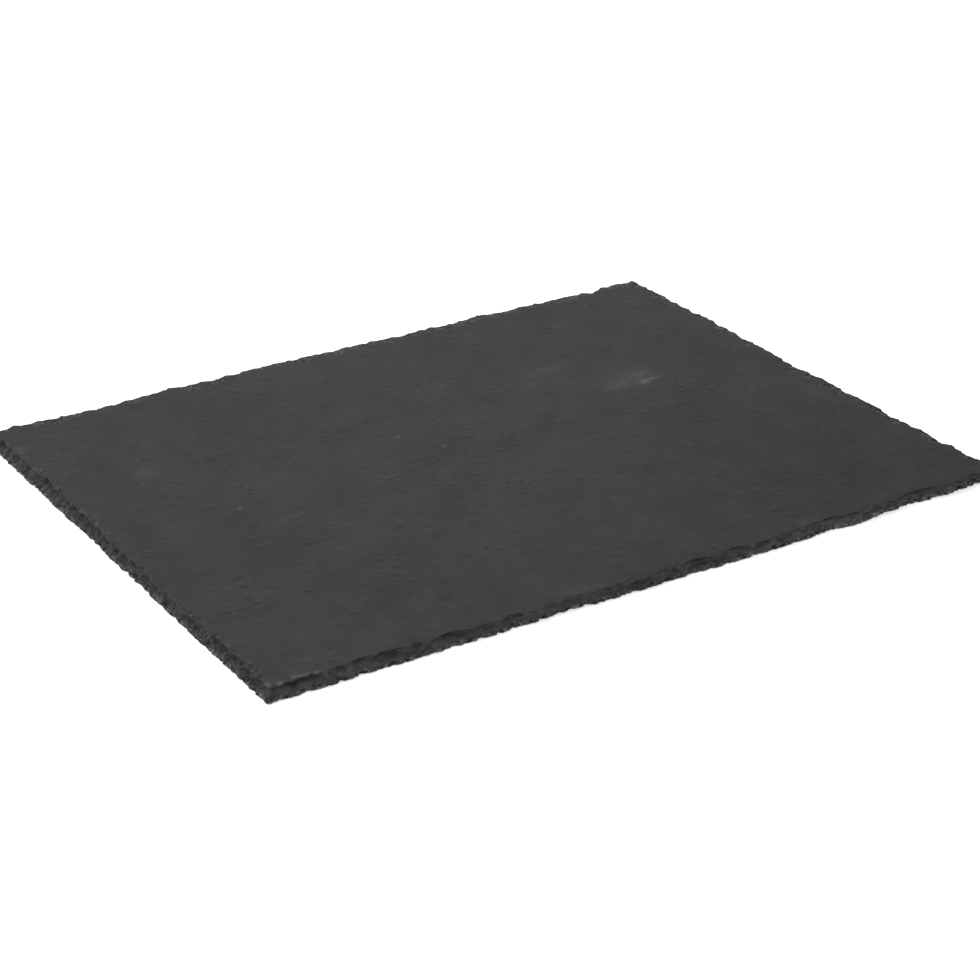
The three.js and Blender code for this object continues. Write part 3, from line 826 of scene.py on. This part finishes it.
# hue drifts from blue-grey on the west through neutral to a warm violet-grey on the east, in soft patches
split_xyz = node("ShaderNodeSeparateXYZ")
put(split_xyz.inputs[0], coord)
along_x, along_y = split_xyz.outputs[0], split_xyz.outputs[1]
off_middle = math_node("ABSOLUTE", along_y)
lean = math_node("ADD", remap(along_x, -0.135, -0.085, 0.02, 0.25), remap(along_x, -0.010, 0.120, 0.0, 0.30))
# warm sooner in front of and behind the middle, in a rim along the front and the back, and along the west lip
warm_at = ((0.000, 0.050, -0.050, -0.022, 0.27), (0.092, 0.118, -0.122, -0.096, 0.27), (0.085, 0.060, -0.1435, -0.1525, 0.42))
for y0, y1, x0, x1, more in warm_at:
    lean = math_node("ADD", lean, math_node("MULTIPLY", remap(off_middle, y0, y1), remap(along_x, x0, x1, 0.0, more)))
# blue for longer behind than in front
behind_west = math_node("MULTIPLY", along_y, remap(math_node("ABSOLUTE", math_node("ADD", along_x, 0.108)), 0.008, 0.035, -1.8, 0.0))
lean = math_node("ADD", lean, behind_west)
clouds = noise(stretched(60, 60, 40), 2.5, 0.5)
lean = math_node("ADD", lean, math_node("MULTIPLY_ADD", clouds, 0.45, -0.225))
lean = math_node("ADD", lean, math_node("MULTIPLY_ADD", noise(stretched(24, 30, 20, -30, (310, 70)), 1.5, 0.5), 0.36, -0.18), clamp=True)
ramp = node("ShaderNodeValToRGB")
put(ramp.inputs["Fac"], lean)
bar = ramp.color_ramp.elements
bar[0].position, bar[0].color = 0.05, (0.0297, 0.0284, 0.0314, 1)
bar[1].position, bar[1].color = 0.52, (0.0314, 0.0281, 0.0292, 1)
for at in (0.20, 0.30):
    bar.new(at).color = (0.0287, 0.0286, 0.0286, 1)
tone = ramp.outputs["Color"]
# the edge is more neutral, the more so towards the west
tone = mix(math_node("MULTIPLY", edge, remap(along_x, -0.0800, -0.1565, 0.2, 0.85)), tone, (0.0291, 0.0289, 0.0288))

# soft mottling and a fine mineral grain
mottle = noise(stretched(19, 25, 12, -30), 4.0, 0.6)
grain = noise(stretched(0.9, 0.67, 0.62), 2.0, 0.6)
level = math_node("ADD", remap(mottle, 0.25, 0.75, 0.84, 1.16), remap(grain, 0.25, 0.75, -0.012, 0.012))
level = math_node("ADD", level, remap(noise(stretched(7, 5, 4, -25, (50, 900)), 1.5, 0.5), 0.28, 0.72, -0.035, 0.035))


# coordinates bent this way and that, so that no two dashes lie quite alike
sway = node("ShaderNodeTexNoise", noise_dimensions="3D")
put(sway.inputs["Vector"], stretched(9, 9, 9))
sway.inputs["Scale"].default_value, sway.inputs["Detail"].default_value = 1.0, 1.0
bend = node("ShaderNodeVectorMath", operation="MULTIPLY_ADD")
put(bend.inputs[0], sway.outputs["Color"])
bend.inputs[1].default_value = (0.006, 0.006, 0.0)
put(bend.inputs[2], coord)
bent = bend.outputs[0]


def signed(value):
    """A random number from 0 to 1 spread from -1 to 1, most of them near 0."""
    v = math_node("MULTIPLY_ADD", value, 2.0, -1.0)
    return math_node("MULTIPLY", v, math_node("ABSOLUTE", v))


def dashes(long, wide, turn, place, behind):
    """Short slanting dashes, and the same dashes moved back across their length."""
    spots = []
    for off in (0.0, behind):
        a = math.radians(turn)
        far, pick = cells(stretched(long, wide, 1, turn, (place - off * math.sin(a), off * math.cos(a)), bent), "2D")
        spots.append(math_node("MULTIPLY", remap(far, 0.50, 0.05), math_node("POWER", pick[0], 4.0)))
    return spots


# painted shade and light of the cleavage face's ledges: dark dashes of ledge shadow with a painted lit flank behind,
# and a few painted lit ones; the same also feeds the bump
gather = remap(noise(stretched(20, 18, 20, -25, (700, 0)), 2.0, 0.5), 0.36, 0.66, 0.12, 1.2)
ledge_shade_and_relief = None
for long, wide, turn, place, front, flank in ((5.6, 2.95, -28, 0, -0.30, 0.12), (4.5, 2.55, -6, 900, -0.25, 0.095),
                                             (5.0, 2.75, -18, 1800, 0.245, -0.08)):
    spot, shifted = dashes(long, wide, turn, place, 2.2 if front < 0 else -2.2)
    both = math_node("ADD", math_node("MULTIPLY", spot, front), math_node("MULTIPLY", shifted, flank))
    ledge_shade_and_relief = both if ledge_shade_and_relief is None else math_node("ADD", ledge_shade_and_relief, both)
# small pocks, painted darker or lighter as shaded or lit hollows
far, pick = cells(stretched(2.6, 5.4, 1, -32, (2700, 0), bent), "2D")
pock = math_node("MULTIPLY", remap(far, 0.40, 0.05), math_node("MULTIPLY", signed(pick[0]), math_node("ABSOLUTE", signed(pick[0]))))
ledge_shade_and_relief = math_node("ADD", ledge_shade_and_relief, math_node("MULTIPLY", pock, 0.20))
ledge_shade_and_relief = math_node("MULTIPLY", math_node("MULTIPLY", ledge_shade_and_relief, gather), math_node("SUBTRACT", 1.0, edge, clamp=True))
level = math_node("ADD", level, ledge_shade_and_relief)
# the base colour: tone times level, times each point's own tone with its painted shade and light
colour = scaled(tone, math_node("MULTIPLY", level, tone_and_shade_at))

# the struck edge is fresher stone, crumbled and gritty at its foot and along the spalled lip
crumbs = noise(stretched(1.0, 1.0, 0.67), 3.0, 0.7)
edge_level = remap(crumbs, 0.3, 0.72, 0.84, 1.20)
coarse_at = math_node("MULTIPLY", edge, remap(grit_at, 0.0, 0.8, 0.30, 1.0))
colour = scaled(colour, math_node("ADD", math_node("MULTIPLY", coarse_at, math_node("SUBTRACT", edge_level, 1.0)), 1.0))


_, coarse_bit = cells(stretched(1.9, 1.9, 1.4), "3D")
_, fine_bit = cells(stretched(0.85, 0.85, 0.7), "3D")
salt = math_node("ADD", math_node("MULTIPLY", signed(coarse_bit[0]), 0.55), math_node("MULTIPLY", signed(fine_bit[0]), 0.80))
colour = scaled(colour, math_node("MAXIMUM", math_node("MULTIPLY_ADD", salt, grit_at, 1.0), 0.25))
pale = math_node("ADD", crushed_at, math_node("MULTIPLY", grit_at, remap(fine_bit[1], 0.92, 0.99, 0.0, 0.34)), clamp=True)
dust = math_node("MULTIPLY", pale, remap(crumbs, 0.34, 0.6, 0.5, 1.0))
colour = mix(dust, colour, (0.20, 0.196, 0.194))

# the pale scuff
scratch = noise(stretched(5, 2.0, 3, -4), 3.0, 0.6)
scuff_fac = math_node("MULTIPLY", scuffed, remap(scratch, 0.30, 0.66, 0.55, 1.0), clamp=True)
colour = mix(math_node("MULTIPLY", scuff_fac, 0.75), colour, (0.112, 0.112, 0.105))
links.new(colour, shader.inputs["Base Color"])

rough = math_node("ADD", remap(mottle, 0.3, 0.7, 0.68, 0.76), math_node("MULTIPLY", edge, 0.1))
rough = math_node("ADD", rough, remap(grain, 0.3, 0.7, -0.03, 0.03), clamp=True)
links.new(rough, shader.inputs["Roughness"])
shader.inputs["Specular IOR Level"].default_value = 0.12
shader.inputs["Metallic"].default_value = 0.0

# fine relief below the size of the mesh: soft dimples of the cleavage face, crumbled edge
dimples = noise(stretched(2.2, 1.8, 1.4, -20), 2.0, 0.5)
height = math_node("ADD", math_node("MULTIPLY", grain, 0.18), math_node("MULTIPLY", dimples, 0.42))
height = math_node("ADD", height, math_node("MULTIPLY", ledge_shade_and_relief, 0.5))
height = math_node("ADD", height, math_node("MULTIPLY", math_node("MULTIPLY", crumbs, coarse_at), 3.0))
bump = node("ShaderNodeBump")
bump.inputs["Strength"].default_value = 0.5
bump.inputs["Distance"].default_value = 0.00010
put(bump.inputs["Height"], height)
links.new(bump.outputs["Normal"], shader.inputs["Normal"])
mesh.materials.append(mat)

# =============================================================================
# 5. In the frame
# =============================================================================
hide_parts("slate_slab")
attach(slab, "root")

# =============================================================================
# 6. Floor, light and camera
# =============================================================================
floor_mesh = bpy.data.meshes.new("floor")
floor_mesh.from_pydata([(-8, -8, -0.0001), (8, -8, -0.0001), (8, 8, -0.0001), (-8, 8, -0.0001)], [], [(0, 1, 2, 3)])
floor = bpy.data.objects.new("floor", floor_mesh)
bpy.context.scene.collection.objects.link(floor)
floor_mat = bpy.data.materials.new("pale floor")
floor_mat.use_nodes = True
paint = floor_mat.node_tree.nodes["Principled BSDF"]
paint.inputs["Base Color"].default_value = (0.9, 0.9, 0.9, 1)
paint.inputs["Roughness"].default_value = 0.9
paint.inputs["Specular IOR Level"].default_value = 0.0
paint.inputs["Emission Color"].default_value = (1, 1, 1, 1)
paint.inputs["Emission Strength"].default_value = 0.25
floor_mesh.materials.append(floor_mat)

world = bpy.data.worlds.new("studio")
bpy.context.scene.world = world
world.use_nodes = True
world.node_tree.nodes["Background"].inputs["Color"].default_value = (1, 1, 1, 1)
world.node_tree.nodes["Background"].inputs["Strength"].default_value = 0.72


def softbox(name, place, aim, size, power):
    light = bpy.data.lights.new(name, "AREA")
    light.shape = "RECTANGLE"
    light.size, light.size_y = size
    light.energy = power
    obj = bpy.data.objects.new(name, light)
    bpy.context.scene.collection.objects.link(obj)
    obj.location = place
    obj.rotation_mode = "QUATERNION"
    obj.rotation_quaternion = (Vector(aim) - Vector(place)).to_track_quat("-Z", "Y")
    return obj


softbox("key", (-0.85, 1.0, 1.25), (-0.05, 0.02, 0), (1.2, 1.2), 30)
softbox("fill", (0.45, -1.7, 0.85), (0.0, -0.1, 0), (1.6, 1.0), 14)

camera = bpy.data.cameras.new("camera")
camera.sensor_width = 36.0
camera.sensor_fit = "HORIZONTAL"
camera.lens = 2578.1 / 980 * 36
camera.clip_start, camera.clip_end = 0.05, 50
cam = bpy.data.objects.new("camera", camera)
bpy.context.scene.collection.objects.link(cam)

yaw, el, roll = (math.radians(v) for v in (-30.264, 25.021, -1.546))
back = Vector((math.sin(yaw) * math.cos(el), -math.cos(yaw) * math.cos(el), math.sin(el)))
right = Vector((math.cos(yaw), math.sin(yaw), 0))
up = back.cross(right)
r2, u2 = right * math.cos(roll) + up * math.sin(roll), -right * math.sin(roll) + up * math.cos(roll)
place = Vector((-0.01137, -0.02697, 0)) + back * 1.0215
cam.matrix_world = Matrix(((r2.x, u2.x, back.x, place.x), (r2.y, u2.y, back.y, place.y),
                           (r2.z, u2.z, back.z, place.z), (0, 0, 0, 1)))
bpy.context.scene.camera = cam

view = bpy.context.scene.view_settings
view.view_transform = "Standard"
view.look = "None"
view.exposure, view.gamma = 0.0, 1.0
